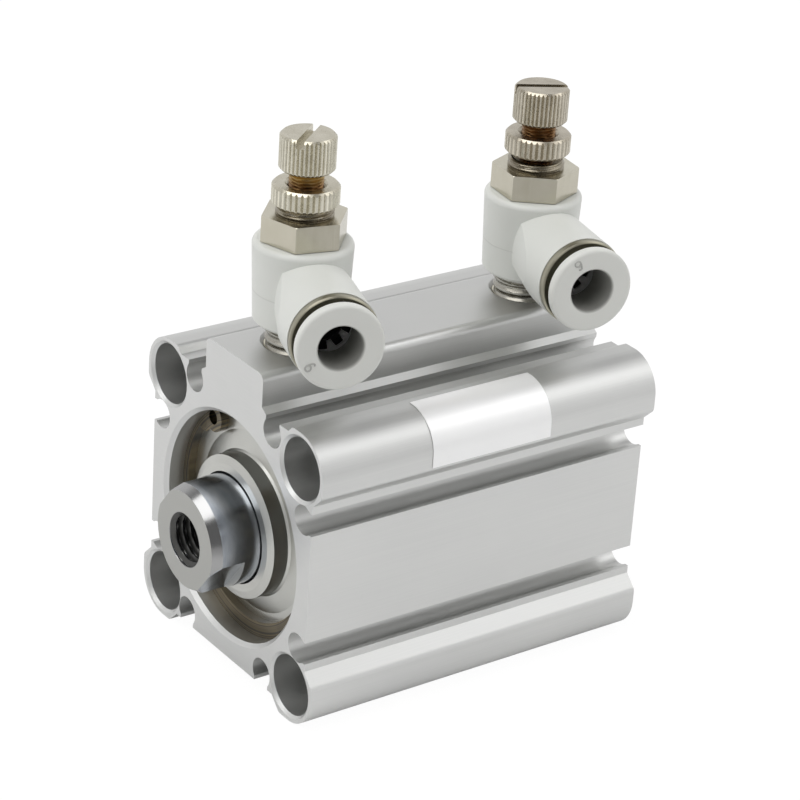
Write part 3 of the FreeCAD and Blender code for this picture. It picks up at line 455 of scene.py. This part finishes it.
FINISHES = {
    "anodised_aluminium": anodised_finish(),
    "collar_face": turned_finish("turned_collar", COLLAR_DARK, COLLAR_PALE, rough=0.26),
    "plain_aluminium": turned_finish("turned_aluminium", grey(0.60), grey(0.71), rough=0.28),
    "chromed_steel": chrome_finish(),
    "phosphated_steel": phosphate_finish(),
    "nitrile_rubber": rubber_finish(),
    "magnet": dark_finish("bonded_magnet", grey(0.05), grey(0.09)),
    "bearing_resin": dark_finish("bearing_resin", grey(0.14, 0.3), grey(0.20, 0.3)),
    "label_foil": foil_finish(),
    "nickel_plated_brass": nickel_finish("nickel_plate"),
    "front_knob": nickel_finish("front_knob_nickel", KNOB_PALE, KNOB_DARK, crest=3.90, root=3.70),
    "rear_knob": nickel_finish("rear_knob_nickel", REAR_SHADE_PALE, REAR_SHADE_DARK, crest=3.90, root=3.70),
    "front_lock_nut": nickel_finish("front_nut_nickel", KNOB_PALE, KNOB_DARK, crest=4.70, root=4.50),
    "rear_lock_nut": nickel_finish("rear_nut_nickel", REAR_SHADE_PALE, REAR_SHADE_DARK, crest=4.70, root=4.50),
    "shaded_thread_nickel": nickel_finish("shaded_thread_nickel", THREAD_SHADE_PALE, THREAD_SHADE_DARK, crest=4.05, root=3.85),
    "stem_nickel": nickel_finish("stem_nickel", STEM_PALE, STEM_DARK, crest=4.75, root=4.45, dirt=0.0),
    "hexagon_nickel": hexagon_finish(),
    "front_cassette": cassette_finish("front"),
    "rear_cassette": cassette_finish("rear"),
    # the rear needle is all painted shade, the front one only towards its lock nut
    "bare_brass": brass_finish("front", lit_share=1.0),
    "rear_brass": brass_finish("rear", lit_share=0.0),
    "off_white_resin": resin_finish("off_white_resin", ELBOW_DARK, ELBOW_PALE, seam=1.0),
    "front_button": resin_finish("front_button_resin", BUTTON_DARK, BUTTON_PALE, bore_of="front"),
    "rear_button": resin_finish("rear_button_resin", BUTTON_DARK, BUTTON_PALE, bore_of="rear"),
    "shaded_mark_resin": resin_finish("shaded_mark_resin", MARK_SHADE_DARK, MARK_SHADE_PALE),
    "stainless_steel": steel_finish(),
}
OWN_LOOK = {"collar": "collar_face"}
for end in PORTS:
    OWN_LOOK[end + "_stem"] = "hexagon_nickel"
    for piece in ("_knob", "_lock_nut", "_cassette"):
        OWN_LOOK[end + piece] = end + piece
for entry in frame["record"]["subparts"]:
    node = frame["nodes"][entry["node"]]
    node.data.materials.clear()
    node.data.materials.append(FINISHES[OWN_LOOK.get(entry["node"], entry["material_slot"])])


def shown(name, grid, body, slot, stands_for=(), crease=35, look=None):
    """Mesh of a grid of points, rows by columns, whose columns close on themselves; each cell is a quad.
    It rides on a body, has the finish called look, or else the slot's own, and stands for CAD nodes."""
    rows, columns = grid.shape[:2]
    index = np.arange(rows * columns).reshape(rows, columns)
    beside = np.roll(index, -1, axis=1)
    quads = np.stack([index[:-1], beside[:-1], beside[1:], index[1:]], axis=-1).reshape(-1, 4)
    mesh = bpy.data.meshes.new(name)
    mesh.from_pydata(grid.reshape(-1, 3) * MM, [], quads.tolist())
    work = bmesh.new()
    work.from_mesh(mesh)
    bmesh.ops.remove_doubles(work, verts=work.verts, dist=SAME_POINT * MM)
    bmesh.ops.recalc_face_normals(work, faces=work.faces)
    work.to_mesh(mesh)
    work.free()
    mesh.shade_smooth()
    mesh.set_sharp_from_angle(angle=math.radians(crease))
    mesh.materials.append(FINISHES[look or slot])
    piece = bpy.data.objects.new(name, mesh)
    bpy.context.collection.objects.link(piece)
    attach(piece, body)
    if stands_for:
        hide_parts(*stands_for)


def softened(points, rounds, steps=6):
    """Closed outline with soft corners: each corner is a parabola that leaves the edge its round away
    from the corner, on both sides, and a round of 0 keeps the corner."""
    points = np.asarray(points, float)
    before = np.roll(points, 1, axis=0) - points
    after = np.roll(points, -1, axis=0) - points
    reach = np.asarray(rounds, float)[:, None]
    start = points + before / np.linalg.norm(before, axis=1, keepdims=True) * reach
    end = points + after / np.linalg.norm(after, axis=1, keepdims=True) * reach
    t = np.linspace(0, 1, steps)[None, :, None]
    curve = (1 - t) ** 2 * start[:, None] + 2 * t * (1 - t) * points[:, None] + t ** 2 * end[:, None]
    return curve.reshape(-1, 2)


def divided(points, gap):
    """Open outline divided into steps no longer than gap: its new points lie at equal lengths along the
    whole of it, and its corners stay among them."""
    points = np.asarray(points, float)
    lengths = np.linalg.norm(np.diff(points, axis=0), axis=1)
    along = np.concatenate([[0], np.cumsum(lengths)])
    fine = np.union1d(np.linspace(0, along[-1], int(along[-1] / gap) + 2), along)
    return np.stack([np.interp(fine, along, points[:, 0]), np.interp(fine, along, points[:, 1])], axis=1)


def spun(radius, height, angle, base, across, aside, along):
    """Surface round an axis: base, plus height along the axis, plus radius times the direction that
    lies at the angle between across and aside."""
    across, aside, along = (np.asarray(v, float) for v in (across, aside, along))
    out = np.cos(angle)[..., None] * across + np.sin(angle)[..., None] * aside
    return np.asarray(base, float) + height[..., None] * along + radius[..., None] * out


def round_grid(profile, columns, extra=()):
    """Radius, height and angle of a lathe profile, each as an array of rows by columns; the columns lie
    at equal angles, with extra angles among them where an edge has to fall on one."""
    angle = np.union1d(np.linspace(0, TURN, columns, endpoint=False), np.mod(extra, TURN))
    radius = np.repeat(profile[:, :1], len(angle), axis=1)
    height = np.repeat(profile[:, 1:], len(angle), axis=1)
    return radius, height, np.broadcast_to(angle, radius.shape)


def thread_wave(height, angle, pitch):
    """Thread of one start: 1 on the crest and 0 in the root, flat on both for a short way; the wave is
    a triangle of height over pitch less the share of a turn."""
    phase = np.mod(height / pitch - angle / TURN, 1.0)
    return np.clip(1.5 * np.abs(2 * phase - 1) - 0.25, 0, 1)


def ramp(value, low, high):
    """0 under low, 1 over high, straight between."""
    return np.clip((value - low) / (high - low), 0, 1)


UPRIGHT = ((1, 0, 0), (0, 1, 0), (0, 0, 1))
ALONG_ROD = ((1, 0, 0), (0, 0, 1), (0, 1, 0))


def piston_rod():
    """Rod as one spun surface, with heights from the tip. The hole's radius is the larger of the
    countersink and the thread, whose crests lie at the core radius; outside, up to their end, two flats
    limit the radius to their distance over the cosine of the angle from their normal."""
    core, pitch, thread_rise, thread_end = 3.4, 1.25, 0.62, 12.8
    drill_end, drill_tip = 13.2, 15.1
    tip, sink, rim, bevel_long, rod = 7.2, 4.05, 7.22, 1.35, 8.0
    flat, flat_long, step, flat_normal = 6.9, 5.0, 0.01, math.radians(-38.2)
    shoulder, spigot, end = 42.6, 5.0, 58.6
    hole = divided([(0, drill_tip), (core, drill_end), (core, 0)], 0.1)
    tip_outline = [(sink, 0), (rim, 0), (rod, bevel_long), (rod, flat_long), (rod, flat_long + step)]
    outside = divided(tip_outline, 0.15)
    rest = np.array([(rod, shoulder), (spigot, shoulder), (spigot, end), (0, end)])
    half = math.acos(flat / rod)
    near_edges = np.array([flat_normal - half, flat_normal + half])
    edges = np.concatenate([near_edges, near_edges + math.pi])
    radius, height, angle = round_grid(np.concatenate([hole, outside, rest]), 240, edges)
    inside = np.arange(len(radius))[:, None] < len(hole)
    cut = 1 - ramp(height, thread_end - 1.0, thread_end)
    thread = core + thread_rise * (1 - thread_wave(height, angle, pitch)) * cut
    hole_wall = np.maximum(np.maximum(thread, sink - height), 0)
    radius = np.where(inside & (radius >= core - 1e-6), hole_wall, radius)
    limit = flat / np.maximum(np.abs(np.cos(angle - flat_normal)), 1e-3)
    milled = ~inside & (height < flat_long + step / 2)
    radius = np.where(milled, np.minimum(radius, limit), radius)
    grid = spun(radius, height, angle, (0, -tip, 0), *ALONG_ROD)
    shown("chromed_rod", grid, "rod", "chromed_steel", ["piston_rod"], crease=20)


def throttle_needle(end):
    """Needle as a spun surface: the CAD profile, with a fine thread pressed into its upper part."""
    point, pin, groove, shank, thread, neck = 0.5, 1.2, 1.5, 2.2, 2.45, 1.6
    low, cone_top, collar_low, groove_low, groove_top = 32.1, 34.7, 37.0, 37.4, 38.7
    thread_low, thread_top, top = 43.0, 52.75, 56.0
    pitch, thread_rise, margin = 0.5, 0.30, 0.05
    profile = divided([(0, low), (point, low), (pin, cone_top), (pin, collar_low), (shank, collar_low),
                       (shank, groove_low), (groove, groove_low), (groove, groove_top), (shank, groove_top),
                       (shank, thread_low), (thread, thread_low), (thread, thread_top), (neck, thread_top),
                       (neck, top), (0, top)], 0.07)
    radius, height, angle = round_grid(profile, 60)
    threaded = (radius > thread - margin) & (height > thread_low + margin) & (height < thread_top - margin)
    radius = radius - np.where(threaded, thread_rise * (1 - thread_wave(height, angle, pitch)), 0)
    grid = spun(radius, height, angle, (0, PORTS[end], NEEDLE_LIFT[end]), *UPRIGHT)
    shown(end + "_threaded_needle", grid, end + "_needle_unit", "bare_brass", [end + "_needle"],
          look=NEEDLE_LOOK[end])


def needle_bush(end):
    """Bush of the needle: a ring profile with a thread on the neck that shows over the hexagon."""
    hole, shank, neck, soft = 2.5, 3.6, 4.1, 3.8
    low, neck_low, soft_low, top = 41.25, 46.4, 47.4, 47.7
    pitch, thread_rise, margin = 0.7, 0.30, 0.05
    ring = [(hole, low), (shank, low), (shank, neck_low), (neck, neck_low), (neck, soft_low), (soft, top),
            (hole, top), (hole, low)]
    radius, height, angle = round_grid(divided(ring, 0.08), 72)
    threaded = (radius > soft - margin) & (height > neck_low + margin)
    radius = radius - np.where(threaded, thread_rise * (1 - thread_wave(height, angle, pitch)), 0)
    grid = spun(radius, height, angle, (0, PORTS[end], 0), *UPRIGHT)
    # the neck thread takes a darker copy of the nickel as painted shade
    shown(end + "_threaded_bush", grid, "cylinder", "nickel_plated_brass", [end + "_needle_guide"],
          look="shaded_thread_nickel")


def stem_thread(end):
    """Sleeve of pipe thread on the stem between boss and elbow: a thin ring whose outer wall is the
    thread wave, its crests spreading with height as a tapered thread does and fading out at the neck."""
    core, outer, crest_low, crest_spread, thread_rise = 4.44, 4.85, 4.80, 0.06, 0.36
    low, high, neck, fade, pitch, inner_wall = 26.4, 30.25, 29.5, 0.3, 1.337, 0.2
    ring = [(core, low), (outer, low), (outer, high), (core, high), (core, low)]
    radius, height, angle = round_grid(divided(ring, 0.09), 96)
    wave = thread_wave(height, angle, pitch)
    wave = wave * (1 - ramp(height, neck - fade, neck) * wave)
    crest = crest_low + crest_spread * ramp(height, low, high)
    outside = radius > core + inner_wall
    radius = np.where(outside, crest - thread_rise * (1 - wave), radius)
    grid = spun(radius, height, angle, (0, PORTS[end], 0), *UPRIGHT)
    shown(end + "_stem_thread", grid, "cylinder", "nickel_plated_brass", look="stem_nickel")


def release_button(end):
    """Release button as a ring profile with moulded soft edges, spun round the outlet axis."""
    sleeve, flange, inner_end, flange_low = 4.6, 6.2, 14.5, 18.9
    small, lip, brow = 0.1, 0.45, 0.6
    corners = [(TUBE_HOLE, inner_end), (sleeve, inner_end), (sleeve, flange_low), (flange, flange_low),
               (flange, BUTTON_FACE), (TUBE_HOLE, BUTTON_FACE)]
    profile = softened(corners, [small, small, small, lip, brow, lip])
    radius, height, angle = round_grid(np.concatenate([profile, profile[:1]]), 120)
    grid = spun(radius, height, angle, (0, PORTS[end], OUTLET_HEIGHT), *outlet_axes(end))
    shown(end + "_soft_button", grid, end + "_button", "off_white_resin", [end + "_release_button"],
          look=end + "_button")


def tube_size_mark(end, around):
    """Raised numeral six for a 6 mm tube: a round bead, half sunk in the button's face, carried along a
    path that is a third of an ellipse and then a full circle, with its top towards the hole."""
    bowl_round, tail_tall, bowl_down, from_axis, bead = 0.42, 1.05, 0.32, 4.8, 0.12
    tail_start, tail_sweep, tail_share, end_share = 55, 125, 0.35, 0.02
    sweep = np.linspace(0, 1, 90)
    tail = np.minimum(sweep / tail_share, 1)
    bowl = np.maximum((sweep - tail_share) / (1 - tail_share), 0)
    phase = np.radians(tail_start + tail_sweep * tail + 360 * bowl)
    tall = np.where(bowl > 0, bowl_round, tail_tall)
    path = np.stack([bowl_round * np.cos(phase), tall * np.sin(phase) - bowl_down], axis=1)
    course = np.gradient(path, axis=0)
    course /= np.linalg.norm(course, axis=1, keepdims=True)
    side = np.stack([-course[:, 1], course[:, 0]], axis=1)
    ends = np.sqrt(np.clip(np.minimum(sweep, 1 - sweep) / end_share, 0, 1))[:, None]
    round_bead = np.linspace(0, TURN, 12, endpoint=False)[None, :]
    wide = bead * np.cos(round_bead) * ends
    lift = bead * np.sin(round_bead) * ends
    sheet = path[:, None] + side[:, None] * wide[..., None]
    across, aside, along = (np.asarray(v, float) for v in outlet_axes(end))
    turn = math.radians(around)
    out = math.cos(turn) * across + math.sin(turn) * aside
    tangent = -math.sin(turn) * across + math.cos(turn) * aside
    centre = np.array((0, PORTS[end], OUTLET_HEIGHT)) + BUTTON_FACE * along + from_axis * out
    grid = centre + sheet[..., :1] * tangent - sheet[..., 1:] * out + lift[..., None] * along
    # the six takes a darker copy of the resin as painted shade
    shown(end + "_tube_size_mark", grid, end + "_button", "off_white_resin", crease=80, look="shaded_mark_resin")


def chuck_teeth(end):
    """Toothed ring that grips the tube, as one closed sheet: from the outer rim inwards and back on the
    other side; the inner radius is a steep wave of the angle, so that teeth and gaps take turns, and the
    sheet leans inwards by the same slope all over."""
    teeth, outer, gap, tip = 10, 4.6, 3.95, 3.22
    high, slope, thick, rows = 13.2, 1.45, 0.22, 6
    angle = np.linspace(0, TURN, 240, endpoint=False)[None, :]
    inner = gap + (tip - gap) * np.clip(4 * np.cos(teeth * angle) - 0.5, 0, 1)
    there = np.concatenate([np.linspace(0, 1, rows), np.linspace(1, 0, rows), [0]])[:, None]
    side = np.repeat([0.0, thick, 0.0], [rows, rows, 1])[:, None]
    radius = outer + (inner - outer) * there
    height = high - (outer - radius) * slope - side
    around = np.broadcast_to(angle, radius.shape)
    grid = spun(radius, height, around, (0, PORTS[end], OUTLET_HEIGHT), *outlet_axes(end))
    shown(end + "_toothed_ring", grid, end + "_elbow", "stainless_steel", [end + "_chuck"])


MARK_AT = {"front": 210, "rear": 121}
piston_rod()
for end, mark_at in MARK_AT.items():
    throttle_needle(end)
    needle_bush(end)
    stem_thread(end)
    release_button(end)
    tube_size_mark(end, mark_at)
    chuck_teeth(end)


def studio_floor():
    """Pale floor under the part: a wide flat sheet that looks near white to the camera and keeps a soft
    shadow. Its own colour, which the part mirrors, darkens ahead of the part."""
    reach = 3.0
    ahead, pale_until, dark_from = (0.8, -0.6, 0.0), 55.0, 120.0
    strength, seen_share, mirrored_share, through_share = 1.04, 0.92, 0.09, 0.09
    corners = np.array([(-reach, -reach), (reach, -reach), (reach, reach), (-reach, reach)])
    mesh = bpy.data.meshes.new("studio_floor")
    mesh.from_pydata(np.column_stack([corners, np.full(4, FLOOR * MM)]), [], [(0, 1, 2, 3)])
    floor = bpy.data.objects.new("studio_floor", mesh)
    bpy.context.collection.objects.link(floor)
    f = Finish("pale_floor", Roughness=0.9)
    distance = f.vector("DOT_PRODUCT", f.place(), ahead)
    f.surface(Base_Color=f.blend(distance.above(pale_until, dark_from), grey(0.91), grey(0.55)))
    seen = f.node("ShaderNodeLightPath", {}, {}, "Is Camera Ray")
    mirrored = f.node("ShaderNodeLightPath", {}, {}, "Is Glossy Ray")
    through = f.node("ShaderNodeLightPath", {}, {}, "Is Transmission Ray")
    glow = f.node("ShaderNodeEmission", {}, {"Color": (1, 1, 1, 1), "Strength": strength}, "Emission")
    share = seen * seen_share + mirrored * mirrored_share + through * through_share
    own = Value(f, f.shader.outputs[0])
    mixed = f.node("ShaderNodeMixShader", {}, {0: share, 1: own, 2: glow}, "Shader")
    f.feed(f.output.inputs["Surface"], mixed)
    mesh.materials.append(f.material)


def softbox(name, direction, width, depth, glow):
    """Rectangular lamp, in metres, that faces the part from a direction; its power is glow times pi times
    its area, so that glow sets how bright it looks whatever its size."""
    distance = 1.0
    data = bpy.data.lights.new(name, "AREA")
    data.shape = "RECTANGLE"
    data.size = width
    data.size_y = depth
    data.energy = glow * math.pi * width * depth
    lamp = bpy.data.objects.new(name, data)
    toward = Vector(direction).normalized()
    place = toward * distance + BODY_MIDDLE * MM
    lamp.matrix_world = Matrix.Translation(place) @ toward.to_track_quat("Z", "Y").to_matrix().to_4x4()
    bpy.context.collection.objects.link(lamp)


def studio_world():
    """Pale surround, dimmer overhead and dim on the side from which the picture is taken."""
    pale, overhead_loss, dim_loss = 0.90, 0.62, 0.75
    overhead_from, overhead_full = 0.52, 0.80
    dim_side, dim_from, dim_full = (0.78, -0.48, 0.40), 0.75, 0.93
    world = bpy.data.worlds.new("studio")
    world.use_nodes = True
    bpy.context.scene.world = world
    graph = Graph(world.node_tree)
    toward = graph.node("ShaderNodeTexCoord", {}, {}, "Generated")
    rise = graph.node("ShaderNodeSeparateXYZ", {}, {0: toward}, "Z")
    overhead = rise.above(overhead_from, overhead_full)
    dim = graph.vector("DOT_PRODUCT", toward, dim_side).above(dim_from, dim_full)
    strength = (pale - overhead_loss * overhead) * (1 - dim_loss * dim)
    background = world.node_tree.nodes["Background"]
    background.inputs["Color"].default_value = (1, 1, 1, 1)
    graph.feed(background.inputs["Strength"], strength)


studio_floor()
studio_world()
softbox("rear_right", (0.45, 0.54, 0.71), width=0.5, depth=0.5, glow=1.2)
softbox("rear_high", (0.08, 0.68, 0.73), width=0.5, depth=0.25, glow=1.0)
softbox("overhead", (0.0, -0.4, 0.92), width=0.9, depth=0.9, glow=2.4)
bpy.context.scene.view_settings.view_transform = "Standard"
